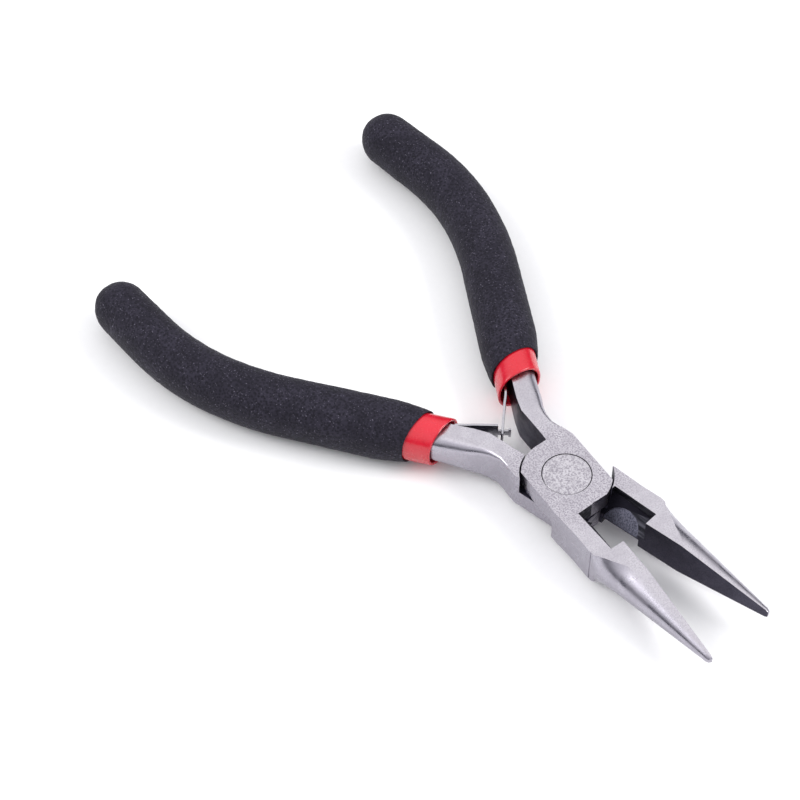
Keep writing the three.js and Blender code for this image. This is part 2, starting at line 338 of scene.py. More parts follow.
def new_material(name: str) -> tuple[bpy.types.Material, Nodes, bpy.types.Node]:
    """Makes a material with one Principled shader.

    Args:
        name: the material's name.

    Returns:
        The material, its nodes, and its Principled BSDF.
    """
    material = bpy.data.materials.new(name)
    material.use_nodes = True
    material.node_tree.nodes.clear()
    nodes = Nodes(material.node_tree)
    shader = nodes.add("ShaderNodeBsdfPrincipled")
    nodes.add("ShaderNodeOutputMaterial", {"Surface": shader.outputs["BSDF"]})
    return material, nodes, shader


# ---------------------------------------------------------------- finishes


@dataclass(frozen=True)
class SteelFinish:
    """Ground and lightly polished steel, speckled most on the flats round the pivot."""

    name: str
    light: Colour
    dark: Colour
    roughness: float = 0.27
    speckle: float = 0.25
    joint_speckle: float = 0.6
    joint_radius: float = 13 * MM
    grain_scale: float = 4200.0
    bump: float = 0.06
    clouding: float = 0.14
    # Painted shade: a darker base colour for surfaces that tilt off the flats, standing in for their darker
    # reflections.
    flank_painted_shade: Colour | None = None
    painted_shade_tilt: tuple[float, float] = (0.80, 0.985)

    def material(self) -> bpy.types.Material:
        """Builds the finish.

        Returns:
            The material.
        """
        material, n, shader = new_material(self.name)
        place = n.add("ShaderNodeTexCoord").outputs["Object"]
        parts = n.add("ShaderNodeSeparateXYZ", {0: place}).outputs
        plan = n.add("ShaderNodeCombineXYZ", {"X": parts["X"], "Y": parts["Y"]}).outputs[0]
        radius = n.add("ShaderNodeVectorMath", {0: plan}, operation="LENGTH").outputs["Value"]
        fade_start = self.joint_radius * 0.55
        strength = n.ramp(radius, fade_start, self.joint_radius, (self.joint_speckle, self.speckle))
        grain = GRAIN.use(n, Scale=self.grain_scale, Spread=0.4).outputs
        amount = n.math("MULTIPLY", grain["Speckle"], strength)
        clouded = n.mix(n.math("MULTIPLY", grain["Cloud"], self.clouding), self.tone_with_painted_flank_shade(n), self.dark)
        colour = n.mix(amount, clouded, self.dark)
        n.tree.links.new(colour, shader.inputs["Base Color"])
        n.tree.links.new(
            n.ramp(grain["Cloud"], 0.0, 1.0, (self.roughness - 0.04, self.roughness + 0.05)),
            shader.inputs["Roughness"],
        )
        n.tree.links.new(n.bump(grain["Height"], 0.02 * MM, self.bump), shader.inputs["Normal"])
        shader.inputs["Metallic"].default_value = 1.0
        return material

    def tone_with_painted_flank_shade(self, n: Nodes) -> bpy.types.NodeSocket | Colour:
        """The light tone, darkened by painted shade to the flank colour where the surface tilts off the
        flats.

        Args:
            n: the material's nodes.

        Returns:
            A colour, or a socket with it.
        """
        if self.flank_painted_shade is None:
            return self.light
        # Painted shade by tilt: the base colour darkens from the light tone to the flank colour as the
        # normal turns off vertical.
        normal = n.add("ShaderNodeNewGeometry").outputs["Normal"]
        upright = n.add("ShaderNodeSeparateXYZ", {0: normal}).outputs["Z"]
        level = n.add("ShaderNodeMath", {0: upright}, operation="ABSOLUTE").outputs[0]
        return n.mix(n.ramp(level, *self.painted_shade_tilt), self.flank_painted_shade, self.light)


@dataclass(frozen=True)
class MilledFinish:
    """Dark steel left from milling, with fine tool lines along X."""

    name: str = "milled_dark_steel"
    light: Colour = (0.085, 0.083, 0.105, 1.0)
    dark: Colour = (0.012, 0.012, 0.018, 1.0)
    line_pitch: float = 0.45 * MM

    def material(self) -> bpy.types.Material:
        """Builds the finish.

        Returns:
            The material.
        """
        material, n, shader = new_material(self.name)
        place = n.add("ShaderNodeTexCoord").outputs["Object"]
        stretched = n.add(
            "ShaderNodeMapping",
            {"Vector": place, "Scale": (0.08, 0.4, 1.0)},
        ).outputs[0]
        lines = n.noise(stretched, 1.0 / self.line_pitch, 5.0)
        grain = GRAIN.use(n, Scale=3200.0, Spread=0.55).outputs
        streaked = n.mix(n.ramp(lines, 0.42, 0.68), self.dark, self.light)
        colour = n.mix(n.math("MULTIPLY", grain["Speckle"], 0.3), streaked, self.light)
        n.tree.links.new(colour, shader.inputs["Base Color"])
        n.tree.links.new(n.bump(lines, 0.05 * MM, 0.4), shader.inputs["Normal"])
        n.tree.links.new(n.ramp(grain["Cloud"], 0.0, 1.0, (0.38, 0.5)), shader.inputs["Roughness"])
        shader.inputs["Metallic"].default_value = 0.75
        return material


@dataclass(frozen=True)
class VinylFinish:
    """Glossy dipped vinyl with a slightly uneven skin."""

    name: str = "red_vinyl"
    bright: Colour = (0.66, 0.014, 0.036, 1.0)
    deep: Colour = (0.58, 0.008, 0.022, 1.0)

    def material(self) -> bpy.types.Material:
        """Builds the finish.

        Returns:
            The material.
        """
        material, n, shader = new_material(self.name)
        place = n.add("ShaderNodeTexCoord").outputs["Object"]
        cloud = n.noise(place, 180.0, 3.0)
        colour = n.mix(n.ramp(cloud, 0.3, 0.7), self.bright, self.deep)
        n.tree.links.new(colour, shader.inputs["Base Color"])
        fine = n.noise(place, 1500.0, 2.0)
        skin = n.bump(cloud, 0.1 * MM, 0.12)
        n.tree.links.new(n.bump(fine, 0.01 * MM, 0.1, skin), shader.inputs["Normal"])
        n.tree.links.new(n.ramp(fine, 0.3, 0.7, (0.2, 0.3)), shader.inputs["Roughness"])
        shader.inputs["Coat Weight"].default_value = 0.3
        shader.inputs["Coat Roughness"].default_value = 0.12
        shader.inputs["Subsurface Weight"].default_value = 0.1
        shader.inputs["Subsurface Radius"].default_value = (1.0, 0.15, 0.1)
        shader.inputs["Subsurface Scale"].default_value = 0.6 * MM
        return material


@dataclass(frozen=True)
class FoamFinish:
    """Matt closed-cell foam rubber: near black, fine cells, a few glints."""

    name: str = "black_foam"
    body: Colour = (0.0062, 0.0052, 0.0108, 1.0)
    worn: Colour = (0.0250, 0.0220, 0.0360, 1.0)
    glint: Colour = (0.190, 0.176, 0.235, 1.0)

    def material(self) -> bpy.types.Material:
        """Builds the finish.

        Returns:
            The material.
        """
        material, n, shader = new_material(self.name)
        cells = CELLS.use(n, Scale=2300.0).outputs
        patches = n.ramp(cells["Cloud"], 0.0, 1.0, (0.5, 1.0))
        dusty = n.math("MULTIPLY", n.ramp(cells["Cells"], 0.35, 0.8), patches)
        toned = n.mix(dusty, self.body, self.worn)
        colour = n.mix(n.math("MULTIPLY", cells["Glints"], 0.45), toned, self.glint)
        n.tree.links.new(colour, shader.inputs["Base Color"])
        n.tree.links.new(n.bump(cells["Cells"], 0.12 * MM, 0.9), shader.inputs["Normal"])
        n.tree.links.new(n.ramp(cells["Glints"], 0.0, 1.0, (0.85, 0.5)), shader.inputs["Roughness"])
        shader.inputs["Specular IOR Level"].default_value = 0.25
        shader.inputs["Sheen Weight"].default_value = 0.05
        shader.inputs["Sheen Roughness"].default_value = 0.5
        return material


@dataclass(frozen=True)
class FloorFinish:
    """Plain white studio board."""

    name: str = "white_board"
    colour: Colour = (0.93, 0.93, 0.93, 1.0)

    def material(self) -> bpy.types.Material:
        """Builds the finish.

        Returns:
            The material.
        """
        material, n, shader = new_material(self.name)
        place = n.add("ShaderNodeTexCoord").outputs["Object"]
        fleck = n.noise(place, 900.0, 2.0)
        near = tuple(0.99 * value for value in self.colour[:3]) + (1.0,)
        n.tree.links.new(n.mix(n.ramp(fleck, 0.3, 0.7), self.colour, near), shader.inputs["Base Color"])
        shader.inputs["Roughness"].default_value = 0.9
        shader.inputs["Specular IOR Level"].default_value = 0.1
        return material


OUTER_STEEL = SteelFinish(
    "ground_steel",
    (0.64, 0.615, 0.655, 1.0),
    (0.28, 0.25, 0.30, 1.0),
    roughness=0.3,
    joint_speckle=0.7,
    grain_scale=3700.0,
    # Painted shade on the tilted flanks of the forgings.
    flank_painted_shade=(0.42, 0.405, 0.455, 1.0),
)
INNER_STEEL = SteelFinish(
    "dark_inner_steel",
    (0.062, 0.057, 0.086, 1.0),
    (0.018, 0.016, 0.028, 1.0),
    roughness=0.42,
    speckle=0.5,
    joint_speckle=0.5,
)
# Painted shade: near-black colour for the narrow round wall above the ground bevel, where shade falls.
STEP_PAINTED_SHADE = SteelFinish(
    "step_painted_shade",
    (0.014, 0.013, 0.019, 1.0),
    (0.006, 0.006, 0.009, 1.0),
    roughness=0.5,
)
BLADE_STEEL = SteelFinish(
    "blade_steel",
    (0.16, 0.16, 0.21, 1.0),
    (0.015, 0.015, 0.022, 1.0),
    roughness=0.4,
    speckle=0.6,
    joint_speckle=0.6,
    grain_scale=4400.0,
    bump=0.2,
)
RIVET_STEEL = SteelFinish(
    "rivet_steel",
    (0.68, 0.655, 0.69, 1.0),
    (0.26, 0.235, 0.28, 1.0),
    joint_speckle=0.68,
    grain_scale=3500.0,
)
SPRING_STEEL = SteelFinish(
    "spring_steel",
    (0.58, 0.57, 0.60, 1.0),
    (0.30, 0.29, 0.33, 1.0),
    roughness=0.2,
    speckle=0.2,
    joint_speckle=0.2,
)


# ---------------------------------------------------------------- mesh helpers


def mesh_object(name: str, bm: bmesh.types.BMesh, materials: list[bpy.types.Material]) -> bpy.types.Object:
    """Makes an object at the origin from a finished bmesh.

    Args:
        name: the piece's name.
        bm: its shape, which is freed.
        materials: its materials, in slot order.

    Returns:
        The new object.
    """
    mesh = bpy.data.meshes.new(name)
    bm.to_mesh(mesh)
    bm.free()
    for material in materials:
        mesh.materials.append(material)
    piece = bpy.data.objects.new(name, mesh)
    bpy.context.scene.collection.objects.link(piece)
    return piece


def shade_by_angle(bm: bmesh.types.BMesh, angle: float) -> None:
    """Smooths every face and keeps the edges that turn by more than an angle sharp.

    Args:
        bm: the shape.
        angle: the largest turn that is smoothed, in radians.
    """
    for face in bm.faces:
        face.smooth = True
    for edge in bm.edges:
        edge.smooth = len(edge.link_faces) == 2 and edge.calc_face_angle(0.0) < angle


def recalculated(bm: bmesh.types.BMesh) -> bmesh.types.BMesh:
    """Merges doubles and turns all faces outwards.

    Args:
        bm: the shape.

    Returns:
        The same shape.
    """
    bmesh.ops.remove_doubles(bm, verts=bm.verts, dist=1e-6)
    bmesh.ops.recalc_face_normals(bm, faces=bm.faces)
    return bm


def merged_copy(node: str) -> bmesh.types.BMesh:
    """Copies a CAD node with its loose triangles merged and its flat regions joined.

    Args:
        node: the CAD node's name.

    Returns:
        The copy.
    """
    bm = bmesh.new()
    bm.from_mesh(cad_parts[node].data)
    bmesh.ops.remove_doubles(bm, verts=bm.verts, dist=2e-6)
    bmesh.ops.dissolve_limit(
        bm,
        angle_limit=math.radians(0.5),
        use_dissolve_boundaries=False,
        verts=bm.verts,
        edges=bm.edges,
    )
    return bm


# ---------------------------------------------------------------- handle line


@dataclass(frozen=True)
class Station:
    """A place on the handle's centre line, on one half at rest."""

    centre: Vector
    along: Vector
    outward: Vector


@dataclass
class HandleLine:
    """Centre line of a handle with the pliers closed: straight, bent, straight."""

    mouth: tuple[float, float] = (-21.1 * MM, 5.4 * MM)
    bend_start: tuple[float, float] = (-46.1 * MM, 16.25 * MM)
    bend_corner: tuple[float, float] = (-59.8 * MM, 22.25 * MM)
    bend_end: tuple[float, float] = (-73.1 * MM, 19.65 * MM)
    end_x: float = -86.6 * MM
    samples: int = 200
    points: list[Vector] = field(default_factory=list)
    lengths: list[float] = field(default_factory=list)

    def __post_init__(self) -> None:
        """Measures the line."""
        mouth, start, corner, end = (
            Vector((*p, 0.0)) for p in (self.mouth, self.bend_start, self.bend_corner, self.bend_end)
        )
        slope = (corner.y - end.y) / (corner.x - end.x)
        tail = Vector((self.end_x, end.y + slope * (self.end_x - end.x), 0.0))
        bend = [self.bezier(start, corner, end, i / self.samples) for i in range(self.samples + 1)]
        self.points = [mouth, *bend, tail]
        self.lengths = [0.0]
        for a, b in zip(self.points, self.points[1:]):
            self.lengths.append(self.lengths[-1] + (b - a).length)

    @staticmethod
    def bezier(a: Vector, b: Vector, c: Vector, t: float) -> Vector:
        """A point of a quadratic curve.

        Args:
            a: its start.
            b: its corner.
            c: its end.
            t: from 0 to 1.

        Returns:
            The point.
        """
        return a * (1 - t) ** 2 + b * (2 * t * (1 - t)) + c * t**2

    @property
    def length(self) -> float:
        """Length of the line."""
        return self.lengths[-1]

    @property
    def straight(self) -> float:
        """Length of the line's first straight part."""
        return self.lengths[1]

    def at(self, distance: float, side: Side) -> Station:
        """The line's frame at a distance behind the sleeve's mouth.

        Args:
            distance: how far behind the mouth; in front of it the line runs on straight.
            side: the half.

        Returns:
            The frame on that half at rest.
        """
        last = len(self.lengths) - 2
        i = next((k for k in range(last + 1) if self.lengths[k + 1] >= distance), last)
        a, b = self.points[i], self.points[i + 1]
        along = (b - a).normalized()
        centre = a + along * (distance - self.lengths[i])
        outward = Vector((along.y, -along.x, 0.0))
        return Station(side.place(centre), side.place(along), side.place(outward))


HANDLE = HandleLine()


@dataclass(frozen=True)
class Ring:
    """One section of a tube round the handle line."""

    distance: float
    half_width: float
    half_height: float


@dataclass
class HandleTube:
    """A closed skin round the handle line, through a row of oval sections."""

    segments: int = 64
    fullness: float = 0.9
    lean: float = math.tan(math.radians(21.0))
    lean_start: float = 4.3 * MM
    lean_length: float = 14.0 * MM

    def place(self, turn: float, ring: Ring, side: Side) -> Vector:
        """A point of a section.

        Args:
            turn: the point's angle round the section.
            ring: the section.
            side: the half.

        Returns:
            The point at rest.
        """
        station = HANDLE.at(ring.distance, side)
        left = 1 - (ring.distance - self.lean_start) / self.lean_length
        lean = self.lean * min(1.0, max(0.0, left))
        offset = ring.half_width * math.copysign(abs(math.cos(turn)) ** self.fullness, math.cos(turn))
        height = ring.half_height * math.copysign(abs(math.sin(turn)) ** self.fullness, math.sin(turn))
        point = station.centre + station.outward * offset + station.along * (lean * offset)
        return Vector((point.x, point.y, height))

    def build(self, rings: list[Ring], side: Side) -> bmesh.types.BMesh:
        """Extrudes an oval through the sections and closes both ends on a point.

        Args:
            rings: the sections, in order along the skin.
            side: the half.

        Returns:
            The closed shape.
        """
        bm = bmesh.new()
        bmesh.ops.create_circle(bm, segments=self.segments, radius=1.0)
        loop = list(bm.verts)
        turns = [math.atan2(v.co.y, v.co.x) for v in loop]
        edges = list(bm.edges)
        first = loop
        for number, ring in enumerate(rings):
            if number:
                grown = bmesh.ops.extrude_edge_only(bm, edges=edges)["geom"]
                fresh = {v for v in grown if isinstance(v, bmesh.types.BMVert)}
                edges = [e for e in grown if isinstance(e, bmesh.types.BMEdge) and set(e.verts) <= fresh]
                loop = [next(o for e in v.link_edges for o in [e.other_vert(v)] if o in fresh) for v in loop]
            for vert, turn in zip(loop, turns):
                vert.co = self.place(turn, ring, side)
        for end, ring in ((first, rings[0]), (loop, rings[-1])):
            bmesh.ops.pointmerge(bm, verts=end, merge_co=HANDLE.at(ring.distance, side).centre)
        bmesh.ops.recalc_face_normals(bm, faces=bm.faces)
        return bm


# ---------------------------------------------------------------- forgings


class Region(Enum):
    """Regions of a forging, in the order of its material slots."""

    OUTER = 0
    INNER = 1
    MILLED = 2
    BLADE = 3
    STEP = 4


@dataclass
class Forging:
    """One forging: jaw, lapped plate, neck and the tang in the grip."""

    side: Side
    edge_width: float = 0.16 * MM
    smooth_angle: float = math.radians(24.0)
    sharp_angle: float = math.radians(30.0)
    window_end: float = 15.6 * MM
    window_start: float = 7.0 * MM
    blade_depth: float = 0.12 * MM
    edge_height: float = -1.77 * MM
    blade_radius: float = 3.4 * MM
    blade_x: float = 11.0 * MM
    window_depth: float = 3.5 * MM
    neck_start: float = -6.0 * MM
    lap_radius: float = 8.0 * MM
    socket_radius: float = 8.2 * MM
    thickness: float = 7.1 * MM

    def on_step(self, centre: Vector) -> bool:
        """Whether a face is part of the round wall above the ground bevel.

        Args:
            centre: the face's middle, closed, on the half with its handle on +Y.

        Returns:
            True when it lies on the bevel's cylinder.
        """
        axis = Vector((0.0, 1.0, 1.0)).normalized()
        arm = centre - Vector((self.blade_x, 0.0, self.edge_height))
        radius = (arm - axis * arm.dot(axis)).length
        return abs(radius - self.blade_radius) < self.blade_depth

    def region(self, centre: Vector, normal: Vector) -> Region:
        """Names the region that a face lies in.

        Args:
            centre: the face's middle, closed, on the half with its handle on +Y.
            normal: its normal in the same frame.

        Returns:
            The region.
        """
        if abs(normal.z) > 0.98 and abs(centre.z) > 0.45 * self.thickness:
            return Region.OUTER
        beside = self.window_start < centre.x < self.window_end
        in_window = beside and centre.y > -self.window_depth
        if in_window and abs(centre.z) < 0.49 * self.thickness:
            ground = abs(centre.y + centre.z - self.edge_height) < self.blade_depth
            sloping = abs(normal.y - normal.z) < 0.1 and normal.z > 0.5
            if sloping and ground:
                return Region.BLADE
            # The round step wall above the bevel takes the near-black painted shade; the rest of the window
            # is milled steel.
            return Region.STEP if self.on_step(centre) else Region.MILLED
        if centre.x > self.window_end and normal.y > 0.9:
            return Region.INNER
        if centre.x < self.neck_start and normal.y < -0.75:
            return Region.INNER
        radius = math.hypot(centre.x, centre.y)
        lapped = abs(normal.z) > 0.9 and radius < self.lap_radius
        facing_in = normal.x * centre.x + normal.y * centre.y < -0.8 * radius
        if lapped or (facing_in and radius < self.socket_radius):
            return Region.INNER
        return Region.OUTER

    def build(self, materials: list[bpy.types.Material]) -> bpy.types.Object:
        """Makes the finished forging with eased edges.

        Args:
            materials: one material for each region.

        Returns:
            The piece.
        """
        node = f"{self.side.prefix}_forging"
        bm = merged_copy(node)
        for face in bm.faces:
            centre = self.side.unplace(face.calc_center_median())
            normal = self.side.unplace(face.normal)
            face.material_index = self.region(centre, normal).value
        shade_by_angle(bm, self.smooth_angle)
        piece = mesh_object(f"{node}_finished", bm, materials)
        ease = piece.modifiers.new("eased_edges", "BEVEL")
        ease.width = self.edge_width
        ease.segments = 2
        ease.limit_method = "ANGLE"
        ease.angle_limit = self.sharp_angle
        ease.harden_normals = True
        ease.use_clamp_overlap = True
        even = piece.modifiers.new("even_shading", "WEIGHTED_NORMAL")
        even.keep_sharp = True
        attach(piece, self.side.body)
        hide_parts(node)
        return piece


@dataclass
class Rivet:
    """The pivot rivet, ground flush, with a fine dark gap round its head."""

    head_radius: float = 4.04 * MM
    shank_radius: float = 2.6 * MM
    head_depth: float = 1.3 * MM
    taper: float = 0.5 * MM
    height: float = 7.1 * MM
    ease: float = 0.08 * MM
    segments: int = 96

    def build(self, material: bpy.types.Material) -> bpy.types.Object:
        """Spins the rivet's outline round the pivot axis.

        Args:
            material: its finish.

        Returns:
            The piece.
        """
        top = self.height / 2
        shoulder = top - self.head_depth
        outline = [
            (0.0, top),
            (self.head_radius - self.ease, top),
            (self.head_radius, top - self.ease),
            (self.head_radius, shoulder + self.taper),
            (self.shank_radius, shoulder - self.taper),
        ]
        outline += [(radius, -z) for radius, z in reversed(outline)]
        bm = bmesh.new()
        verts = [bm.verts.new((radius, 0.0, z)) for radius, z in outline]
        edges = [bm.edges.new(pair) for pair in zip(verts, verts[1:])]
        bmesh.ops.spin(
            bm,
            geom=verts + edges,
            axis=(0.0, 0.0, 1.0),
            cent=(0.0, 0.0, 0.0),
            angle=2 * math.pi,
            steps=self.segments,
            use_merge=True,
        )
        recalculated(bm)
        shade_by_angle(bm, math.radians(30.0))
        piece = mesh_object("pivot_rivet_ground", bm, [material])
        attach(piece, Side.LOWER.body)
        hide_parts("pivot_rivet")
        return piece


# ---------------------------------------------------------------- leaf springs


@dataclass
class LeafSpring:
    """One strip of spring steel from its rivet in the sleeve to its tip."""

    side: Side
    thickness: float = 0.4 * MM
    half_width: float = 2.0 * MM
    lead: float = 1.2 * MM
    reach: float = 7.9 * MM
    angle: float = math.radians(-37.8)
    offset: float = -2.65 * MM
    clamp_depth: float = 10.0 * MM
    clamp_offset: float = -1.95 * MM
    bend_radius: float = 3.0 * MM
    slot_half_width: float = 0.8 * MM
    slot_start: float = -1.3 * MM
    slot_end: float = 0.9 * MM
    head_start: float = 1.0 * MM
    head_length: float = 0.4 * MM
    head_overhang: float = 0.2 * MM
    shoulder: float = -0.75 * MM
    tongue_play: float = 0.25 * MM
    end_wall: float = 0.6 * MM
    end_corner: float = 0.5 * MM
    slice_length: float = 0.4 * MM
    bend_slices: int = 8
    ease: float = 0.07 * MM

    @property
    def foot(self) -> Vector:
        """Where the free part starts."""
        station = HANDLE.at(-self.lead, self.side)
        return station.centre + station.outward * self.offset

    @property
    def clamp(self) -> Vector:
        """The far end in the sleeve."""
        station = HANDLE.at(self.clamp_depth, self.side)
        return station.centre + station.outward * self.clamp_offset

    @property
    def direction(self) -> Vector:
        """Direction of the free part, towards its tip."""
        closed = Vector((math.cos(self.angle), math.sin(self.angle), 0.0))
        return self.side.place(closed)

    def outline(self) -> list[tuple[float, float]]:
        """Half widths of the strip along its free part.

        Returns:
            Pairs of the distance from the foot and the half width there.
        """
        full = self.half_width
        if self.side is Side.UPPER:
            end = self.reach + self.slot_end + self.end_wall
            return [(end - self.end_corner, full), (end, full - self.end_corner)]
        tongue = self.slot_half_width - self.tongue_play
        head = self.slot_half_width + self.head_overhang
        neck = self.reach + self.head_start
        return [
            (self.reach + self.shoulder, full),
            (self.reach + self.shoulder, tongue),
            (neck, tongue),
            (neck, head),
            (neck + self.head_length, head),
        ]

    def bent(self, distance: float) -> tuple[Vector, Vector]:
        """Middle line of the strip, with a soft bend at the foot.

        Args:
            distance: from the foot, negative in the sleeve.

        Returns:
            The point and the direction across the strip's thickness.
        """
        back = (self.foot - self.clamp).normalized()
        ahead = self.direction
        blend = min(1.0, max(0.0, 0.5 + distance / (2 * self.bend_radius)))
        turned = back.lerp(ahead, blend).normalized()
        if distance <= -self.bend_radius:
            point = self.foot + back * distance
        elif distance >= self.bend_radius:
            point = self.foot + ahead * distance
        else:
            point = self.foot + back * (distance * (1 - blend)) + ahead * (distance * blend)
        return point, Vector((-turned.y, turned.x, 0.0))

    def build(self, material: bpy.types.Material) -> bpy.types.Object:
        """Cuts the strip's outline, gives it its thickness and bends it at the foot.

        Args:
            material: its finish.

        Returns:
            The piece.
        """
        bm = bmesh.new()
        start = -(self.foot - self.clamp).length
        upper = [(start, self.half_width), *self.outline()]
        loop = [bm.verts.new((x, y, 0.0)) for x, y in upper]
        loop += [bm.verts.new((x, -y, 0.0)) for x, y in reversed(upper)]
        bm.faces.new(loop)
        if self.side is Side.UPPER:
            self.cut_slot(bm)
        slices = int(-start / self.slice_length) + self.bend_slices
        for i in range(1, slices + 1):
            self.cut(bm, (start + i * self.slice_length, 0.0, 0.0), (1.0, 0.0, 0.0))
        bottom = bmesh.ops.extrude_face_region(bm, geom=list(bm.faces))["geom"]
        raised = [v for v in bottom if isinstance(v, bmesh.types.BMVert)]
        bmesh.ops.translate(bm, verts=raised, vec=(0.0, 0.0, self.thickness))
        bmesh.ops.translate(bm, verts=bm.verts, vec=(0.0, 0.0, -self.thickness / 2))
        recalculated(bm)
        sharp = [e for e in bm.edges if e.calc_face_angle(0.0) > math.radians(60.0)]
        bmesh.ops.bevel(
            bm,
            geom=sharp,
            offset=self.ease,
            offset_type="OFFSET",
            segments=2,
            profile=0.5,
            affect="EDGES",
            material=-1,
            clamp_overlap=True,
        )
        for vert in bm.verts:
            point, across = self.bent(vert.co.x)
            vert.co = point + across * vert.co.z + Vector((0.0, 0.0, vert.co.y))
        recalculated(bm)
        shade_by_angle(bm, math.radians(35.0))
        piece = mesh_object(f"{self.side.prefix}_leaf_spring", bm, [material])
        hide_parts(f"{self.side.prefix}_spring_leaf", f"{self.side.prefix}_spring_root")
        reach = self.direction * self.bend_radius
        self.foot - reach
        self.foot + reach
        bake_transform(piece)
        return piece

    @staticmethod
    def cut(bm: bmesh.types.BMesh, place: tuple[float, ...], normal: tuple[float, ...]) -> None:
        """Cuts a shape's faces along a plane, and keeps both sides.

        Args:
            bm: the shape.
            place: a point of the plane.
            normal: the plane's normal.
        """
        geom = list(bm.verts) + list(bm.edges) + list(bm.faces)
        bmesh.ops.bisect_plane(bm, geom=geom, dist=1e-7, plane_co=place, plane_no=normal)

    def cut_slot(self, bm: bmesh.types.BMesh) -> None:
        """Cuts the window out of the flat outline.

        Args:
            bm: the outline.
        """
        low, high = self.reach + self.slot_start, self.reach + self.slot_end
        planes = [
            ((low, 0.0, 0.0), (1.0, 0.0, 0.0)),
            ((high, 0.0, 0.0), (1.0, 0.0, 0.0)),
            ((0.0, self.slot_half_width, 0.0), (0.0, 1.0, 0.0)),
            ((0.0, -self.slot_half_width, 0.0), (0.0, 1.0, 0.0)),
        ]
        for place, normal in planes:
            self.cut(bm, place, normal)
        window = []
        for piece in bm.faces:
            middle = piece.calc_center_median()
            if low < middle.x < high and abs(middle.y) < self.slot_half_width:
                window.append(piece)
        bmesh.ops.delete(bm, geom=window, context="FACES")


# ---------------------------------------------------------------- sleeves and grips


@dataclass
class Sleeve:
    """Dipped vinyl sleeve on a tang, with a soft rolled lip round its mouth."""

    side: Side
    half_width: float = 3.9 * MM
    half_height: float = 4.3 * MM
    wall: float = 0.5 * MM
    end: float = 60.0 * MM
    end_wall: float = 1.5 * MM
    bend_stations: tuple[float, ...] = (32 * MM, 40 * MM, 48 * MM)
    lip_steps: int = 6

    def rings(self) -> list[Ring]:
        """Sections from the cavity's end, round the lip and back along the outside.

        Returns:
            The sections.
        """
        bend = (HANDLE.straight, *self.bend_stations)
        inner = (1 * MM, 3 * MM, 6 * MM, 12 * MM, 20 * MM, *bend, self.end - self.end_wall)
        front = (1 * MM, 2.2 * MM, 4 * MM, 6 * MM, 9 * MM, 14 * MM, 20 * MM)
        outer = (*front, *bend, 56 * MM, self.end)
        rings = [self.ring(distance, -self.wall) for distance in reversed(inner)]
        lip = self.wall / 2
        for step in range(self.lip_steps + 1):
            turn = math.pi * step / self.lip_steps
            rings.append(self.ring(lip * (1 - math.sin(turn)), -lip - lip * math.cos(turn)))
        rings += [self.ring(distance, 0.0) for distance in outer]
        return rings

    def ring(self, distance: float, growth: float) -> Ring:
        """One section of the sleeve.

        Args:
            distance: behind the mouth.
            growth: added to the outer size.

        Returns:
            The section.
        """
        return Ring(distance, self.half_width + growth, self.half_height + growth)

    def build(self, material: bpy.types.Material) -> bpy.types.Object:
        """Makes the sleeve.

        Args:
            material: its finish.

        Returns:
            The piece.
        """
        bm = HandleTube().build(self.rings(), self.side)
        shade_by_angle(bm, math.radians(60.0))
        piece = mesh_object(f"{self.side.prefix}_red_sleeve", bm, [material])
        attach(piece, self.side.body)
        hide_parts(f"{self.side.prefix}_inner_sleeve")
        return piece


